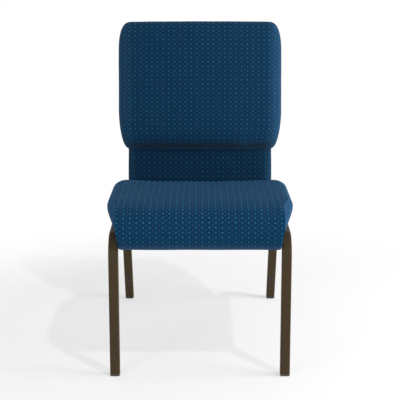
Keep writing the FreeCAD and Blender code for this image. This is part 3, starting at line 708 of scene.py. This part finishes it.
def make_welds(paint):
    """Rippled beads where the cross tubes, the hoop and the tabs are welded on."""
    shape = bmesh.new()

    def bead(path, closed=False):
        length = sum((Vector(b) - Vector(a)).length for a, b in zip(path, path[1:]))
        points = resample(path, even(4 * round(length / WELD_RIPPLE)))
        points = points[:-1] if closed else points
        radii = [WELD * (1 + RIPPLE_DEPTH * math.sin(math.pi / 2 * n)) for n in range(len(points))]
        sweep(shape, points, radii, closed)

    for side in (-1, 1):
        for low, high in ((FRONT_LOW, FRONT_HIGH), (CROSS_LOW, CROSS_HIGH)):
            x, top = side * high.x, high.z - WELD
            bead([(x, low.y, top), (x, low.y, low.z), (x, high.y, low.z), (x, high.y, top)])
        bead([(side * x, CROSS_LOW.y, TAB_LOW.z) for x in (TAB_HIGH.x, TAB_HIGH.x - TAB_WIDTH)])
        foot = Vector((side * (HOOP_SIDE - HOOP_TUBE / 2), (CROSS_LOW.y + CROSS_HIGH.y) / 2, RAIL_TOP))
        turns = [math.radians(angle) for angle in range(0, 361, 15)]
        ring = [foot + HOOP_TUBE / 2 * Vector((math.cos(turn), math.sin(turn), 0)) for turn in turns]
        bead(ring, closed=True)
    bmesh.ops.recalc_face_normals(shape, faces=shape.faces)
    return dress(new_piece("weld_beads", shape), "frame_paint", paint)


# Materials

class Finish:
    """A procedural material, or world, under construction. Each method adds a node and gives its
    output."""

    def __init__(self, name, world=None):
        self.material = world or bpy.data.materials.new(name)
        self.material.use_nodes = True
        self.tree = self.material.node_tree
        self.tree.nodes.clear()

    def node(self, kind, inputs, **settings):
        node = self.tree.nodes.new("ShaderNode" + kind)
        for name, value in settings.items():
            setattr(node, name, value)
        for key, value in inputs.items():
            if isinstance(value, bpy.types.NodeSocket):
                self.tree.links.new(value, node.inputs[key])
            else:
                node.inputs[key].default_value = value
        return node

    def add(self, kind, inputs, output=0, **settings):
        return self.node(kind, inputs, **settings).outputs[output]

    def math(self, operation, *values):
        return self.add("Math", dict(enumerate(values)), operation=operation)

    def vector(self, operation, *values, output=0):
        return self.add("VectorMath", dict(enumerate(values)), output, operation=operation)

    def place(self):
        return self.add("TexCoord", {}, "Object")

    def noise(self, place, size, detail=2.0):
        return self.add("TexNoise", {"Vector": place, "Scale": 1 / size, "Detail": detail})

    def fade(self, value, start, stop):
        """0 at start and 1 at stop, with a soft step between."""
        return self.add("MapRange", {0: value, 1: start, 2: stop, 3: 0.0, 4: 1.0},
                        interpolation_type="SMOOTHSTEP")

    def span(self, value, low, high):
        """A 0 to 1 value, spread from low to high."""
        return self.add("MapRange", {0: value, 1: 0.0, 2: 1.0, 3: low, 4: high})

    def mix(self, share, a, b):
        return self.add("Mix", {0: share, 6: a, 7: b}, 2, data_type="RGBA")

    def bump(self, height, depth, strength=1.0):
        return self.add("Bump", {"Height": height, "Distance": depth, "Strength": strength})

    def done(self, colour, roughness, normal, **plain):
        """Ends the material in a principled shader; plain holds sockets that are the same all over."""
        inputs = {"Base Color": colour, "Roughness": roughness, "Normal": normal}
        for name, value in plain.items():
            inputs[name.replace("_", " ").title().replace("Ior", "IOR")] = value
        shader = self.add("BsdfPrincipled", inputs)
        self.node("OutputMaterial", {"Surface": shader})
        return self.material


# Yarns of the fabric
NAVY = (0.004, 0.049, 0.118, 1)
NAVY_DEEP = (0.002, 0.031, 0.078, 1)
TEAL = (0.036, 0.156, 0.270, 1)
MAUVE = (0.037, 0.064, 0.170, 1)

# Painted light and shade on the cloth: where each is full and where it ends, its colour and its share
SHADED = (0, 0, 0, 1)
# Grey tint for painted shade on the underside of the back's pad
PAINTED_SHADE_GREY = (0.012, 0.018, 0.022, 1)
# Pale tint for painted light from the floor and a painted sheen
PAINTED_PALE_LIGHT = (0.42, 0.58, 0.78, 1)
# Blue tint for a painted sheen on the back's sides
PAINTED_SHEEN_BLUE = (0.20, 0.52, 0.90, 1)
NECK_SHADE = (0.118, 0.136, SHADED, 0.28)    # heights on the cloth of the back, for its neck
PAINTED_EDGE_LIGHT = (0.345, 0.375, PAINTED_PALE_LIGHT, 0.048)      # heights on that of the seat: painted light from the floor on its lower edge
PAINTED_SIDE_SHEEN = (0.212, 0.185, PAINTED_SHEEN_BLUE, 0.028)    # from the middle of the back: painted sheen on its rounded sides
UNDER_SHADE = (-0.65, -0.12, PAINTED_SHADE_GREY, 0.55)     # rises of the normal: painted shade on cloth that faces down


def fabric(name, dots, tone_and_painted_light=1.0, contrast=1.0, sheen=0.075, painted_sheen=0.0, below=None, beyond=None, under=None):
    """Woven upholstery: deep blue yarns with rows of teal dots and fainter mauve specks. A brightness
    factor scales the yarns; it sets the cloth's tone and paints light and shade into lighter and
    darker copies of the one fabric. A share of a pale tint paints sheen and light, and below, beyond
    and under paint light and shade by height, by distance from the middle and by the way that it faces."""
    yarns = (NAVY_DEEP, NAVY, MAUVE, TEAL)
    navy_deep, navy, mauve, teal = (tuple(tone_and_painted_light * c for c in yarn[:3]) + (1,) for yarn in yarns)
    pitch, start = (Vector(pair).to_3d() for pair in dots)
    pitch.z = 1.0
    f = Finish(name)
    cloth = f.add("UVMap", {}, uv_map="cloth")
    up = f.node("SeparateXYZ", {0: f.add("NewGeometry", {}, "Normal")}).outputs[2]

    def spots(shift, radius):
        cell = f.vector("FRACTION", f.vector("DIVIDE", f.vector("SUBTRACT", cloth, start + shift), pitch))
        away = f.vector("MULTIPLY", f.vector("SUBTRACT", cell, (0.5, 0.5, 0.0)), pitch)
        flat = f.vector("MULTIPLY", away, (1.0, 1.0, 0.0))
        size = f.span(up, radius, radius * DOT_STRETCH)
        return f.fade(f.vector("LENGTH", flat, output="Value"), size, f.math("MULTIPLY", size, 0.35))

    phase = f.vector("MULTIPLY", cloth, (2 * math.pi / YARN,) * 3)
    waves = f.node("SeparateXYZ", {0: f.vector("SINE", phase)}).outputs
    weave = f.math("MULTIPLY_ADD", f.math("MULTIPLY", waves[0], waves[1]), 0.5, 0.5)
    slub = f.noise(f.vector("MULTIPLY", cloth, (1.0, 0.35, 1.0)), 0.0016)
    half = Vector((pitch.x / 2, pitch.y / 2, 0))
    ground = f.mix(f.math("MULTIPLY_ADD", weave, 0.55, f.math("MULTIPLY", slub, 0.45)), navy_deep, navy)
    vary = f.span(f.noise(cloth, DOT_VARIES, 1.0), 0.2 * contrast, 1.8 * contrast)
    specks = f.math("MULTIPLY", spots(Vector((0, 0, 0)), SPECK_RADIUS), f.math("MULTIPLY", vary, 0.85))
    dotted = f.math("MULTIPLY", spots(half, DOT_RADIUS), f.math("MULTIPLY", vary, f.span(weave, 0.6, 1.0)))
    colour = f.mix(dotted, f.mix(specks, ground, mauve), teal)
    # A pale tint paints sheen and light on the cloth of the seat's side panels
    if painted_sheen:
        colour = f.mix(painted_sheen, colour, PAINTED_PALE_LIGHT)
    across, height = f.node("SeparateXYZ", {0: cloth}).outputs[:2]
    # Painted shade and light: by the way the cloth faces, by height on the cloth and by distance from its
    # middle
    for value, tint in ((up, under), (height, below), (f.math("ABSOLUTE", across), beyond)):
        if tint:
            full, end, shade, share = tint
            colour = f.mix(f.span(f.fade(value, full, end), share, 0.0), colour, shade)
    relief = f.math("ADD", weave, f.math("MULTIPLY", slub, 0.6))
    return f.done(colour, f.span(slub, 0.78, 0.95), f.bump(relief, YARN * 0.35, 0.5),
                  sheen_weight=sheen, sheen_roughness=0.45, sheen_tint=(0.30, 0.62, 1.0, 1),
                  specular_ior_level=0.06)


def frame_paint():
    """Dark bronze powder coat, mottled red-brown and olive, with a fine vein."""
    f = Finish("bronze_powder_coat")
    place = f.place()
    vein = f.add("TexVoronoi", {"Vector": f.add("TexNoise", {"Vector": place, "Scale": 90.0}, "Color"),
                                "Scale": 9.0}, "Distance", feature="DISTANCE_TO_EDGE")
    gold = f.fade(vein, 0.10, 0.0)
    cloud = f.noise(place, 0.018, 3.0)
    patch = f.fade(f.noise(place, 0.009, 2.0), 0.40, 0.60)
    body = f.mix(patch, (0.048, 0.026, 0.012, 1), (0.041, 0.031, 0.011, 1))
    body = f.mix(f.math("MULTIPLY", cloud, 0.45), body, (0.022, 0.017, 0.010, 1))
    colour = f.mix(f.math("MULTIPLY", gold, 0.35), body, (0.130, 0.068, 0.018, 1))
    grain = f.noise(place, 0.0011, 1.0)
    return f.done(colour, f.span(cloud, 0.44, 0.60), f.bump(grain, 0.00015, 0.6), specular_ior_level=0.20)


def plastic(name, dark, light, low, high):
    """Moulded plastic or rubber with a fine grain."""
    f = Finish(name)
    place = f.place()
    grain = f.noise(place, 0.0009, 2.0)
    scuff = f.noise(place, 0.007, 4.0)
    return f.done(f.mix(scuff, dark, light), f.span(scuff, low, high), f.bump(grain, 0.0001, 0.4),
                  specular_ior_level=0.4)


def plated(name, dark, light):
    """Plated steel with faint drawing lines."""
    f = Finish(name)
    place = f.place()
    cloud = f.noise(place, 0.004, 3.0)
    lines = f.noise(f.vector("MULTIPLY", place, (1.0, 1.0, 12.0)), 0.0015, 1.0)
    return f.done(f.mix(cloud, dark, light), f.span(cloud, 0.28, 0.45), f.bump(lines, 0.00005, 0.4),
                  metallic=1.0)


def plywood(name):
    """Beech veneer with long grain and darker plies."""
    f = Finish(name)
    place = f.place()
    grain = f.noise(f.vector("MULTIPLY", place, (1.0, 0.06, 1.0)), 0.003, 4.0)
    plies = f.math("FRACT", f.math("DIVIDE", f.add("SeparateXYZ", {0: place}, 2), PLIES))
    wood = f.mix(grain, (0.40, 0.25, 0.13, 1), (0.62, 0.44, 0.26, 1))
    colour = f.mix(f.math("MULTIPLY", f.fade(plies, 0.5, 0.6), 0.3), wood, (0.30, 0.17, 0.08, 1))
    return f.done(colour, f.span(grain, 0.55, 0.75), f.bump(grain, 0.0003, 0.4))


def fibre(name, dark, light, size, depth):
    """Matted fibres or cells: hardboard, foam and the dust cover."""
    f = Finish(name)
    place = f.place()
    tangle = f.add("TexVoronoi", {"Vector": place, "Scale": 1 / size}, "Distance")
    cloud = f.noise(place, size * 9, 3.0)
    share = f.math("MULTIPLY_ADD", tangle, 0.6, f.math("MULTIPLY", cloud, 0.4))
    return f.done(f.mix(share, dark, light), f.span(cloud, 0.80, 0.95), f.bump(tangle, depth, 0.6),
                  specular_ior_level=0.2)


def floor_paint():
    """A pale floor that keeps the chair's shadow and fades to plain white away from it."""
    f = Finish("pale_floor")
    place = f.place()
    mottle = f.noise(place, 0.4, 2.0)
    shaded = f.add("BsdfDiffuse", {"Color": f.mix(mottle, (0.90, 0.90, 0.90, 1), (0.92, 0.92, 0.92, 1))})
    white = f.add("Emission", {"Color": (1, 1, 1, 1), "Strength": 1.0})
    far = f.fade(f.vector("LENGTH", place, output="Value"), *GLOW_ROUND)
    share = f.math("MULTIPLY", f.span(far, FLOOR_GLOW, 1.0), seen_directly(f))
    f.node("OutputMaterial", {"Surface": f.add("MixShader", {0: share, 1: shaded, 2: white})})
    return f.material


def seen_directly(f):
    """1 for what the camera sees, also in a reflection or through glass."""
    path = f.node("LightPath", {}).outputs
    return f.math("MAXIMUM", path["Is Camera Ray"],
                  f.math("MAXIMUM", path["Is Glossy Ray"], path["Is Transmission Ray"]))


# Studio

def make_floor():
    shape = bmesh.new()
    bmesh.ops.create_grid(shape, x_segments=8, y_segments=8, size=FLOOR_SIZE)
    floor = new_piece("floor", shape)
    floor.data.materials.append(floor_paint())


def area_light(name, place, size, share, glint=True):
    """A square light that gives a white surface facing it the share of white."""
    lamp = bpy.data.lights.new(name, "AREA")
    lamp.shape = "SQUARE"
    lamp.size = size
    throw = Vector(LIGHT_TARGET) - Vector(place)
    lamp.energy = share * (math.pi * throw.length) ** 2
    holder = bpy.data.objects.new(name, lamp)
    holder.location = place
    holder.rotation_euler = throw.to_track_quat("-Z", "Y").to_euler()
    holder.visible_glossy = glint
    bpy.context.scene.collection.objects.link(holder)


def make_world():
    """Plain white where the camera sees it, and a soft even light on the chair."""
    f = Finish("studio", bpy.data.worlds.new("studio"))
    strength = f.span(seen_directly(f), AMBIENT, 1.0)
    backdrop = f.add("Background", {"Color": (1, 1, 1, 1), "Strength": strength})
    f.node("OutputWorld", {"Surface": backdrop})
    bpy.context.scene.world = f.material


def make_camera():
    lens = bpy.data.cameras.new("camera")
    lens.lens = CAMERA_LENS
    lens.sensor_width = SENSOR_WIDTH
    camera = bpy.data.objects.new("camera", lens)
    camera.location = CAMERA_PLACE
    camera.rotation_euler = (math.radians(90) - CAMERA_DOWN, 0, 0)
    bpy.context.scene.collection.objects.link(camera)
    bpy.context.scene.camera = camera


def dress_frame():
    """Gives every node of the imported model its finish, by its material slot."""
    finishes = {
        "frame_paint": frame_paint(),
        "blue_fabric": fabric("cover_fabric", SEAT_DOTS),
        "foam": fibre("cut_foam", (0.55, 0.47, 0.30, 1), (0.75, 0.68, 0.48, 1), 0.0012, 0.0004),
        "plywood": plywood("beech_plywood"),
        "hardboard": fibre("hardboard", (0.12, 0.07, 0.04, 1), (0.24, 0.15, 0.09, 1), 0.0016, 0.0001),
        "dust_cloth": fibre("dust_cloth", (0.010, 0.010, 0.011, 1), (0.030, 0.030, 0.032, 1), 0.0010, 0.0002),
        "grey_plastic": plastic("glide_plastic", (0.045, 0.041, 0.036, 1), (0.080, 0.073, 0.066, 1),
                                0.45, 0.62),
        "bumper_rubber": plastic("bumper_rubber", (0.012, 0.012, 0.012, 1), (0.024, 0.023, 0.022, 1),
                                 0.62, 0.80),
        "black_zinc": plated("black_zinc_plate", (0.055, 0.058, 0.062, 1), (0.120, 0.125, 0.130, 1)),
        "zinc": plated("zinc_plate", (0.50, 0.50, 0.47, 1), (0.66, 0.66, 0.63, 1)),
    }
    for part in frame["record"]["subparts"]:
        slots = frame["nodes"][part["node"]].data.materials
        slots.clear()
        slots.append(finishes[part["material_slot"]])
    return finishes


bpy.context.scene.view_settings.view_transform = "Standard"
make_camera()
make_world()
make_floor()
area_light("key", KEY_PLACE, KEY_SIZE, KEY_SHARE, glint=False)
area_light("side", SIDE_PLACE, SIDE_SIZE, SIDE_SHARE)
area_light("fill", FILL_PLACE, FILL_SIZE, FILL_SHARE)
finishes = dress_frame()
# Copies of one fabric: the seat's has painted light on its lower edge, the side panels' is painted lighter
# with a painted sheen, and the back's is painted darker, with painted shade on its neck and underside and a
# painted sheen on its sides
make_seat(fabric("seat_fabric", SEAT_DOTS, tone_and_painted_light=0.86, below=PAINTED_EDGE_LIGHT),
          fabric("seat_side_fabric", SEAT_DOTS, tone_and_painted_light=1.15, contrast=0.4, painted_sheen=0.025))
make_back(fabric("back_fabric", BACK_DOTS, tone_and_painted_light=0.69, sheen=0.12, below=NECK_SHADE, beyond=PAINTED_SIDE_SHEEN,
                 under=UNDER_SHADE))
make_dust_cover(finishes["dust_cloth"], finishes["zinc"])
make_welds(finishes["frame_paint"])
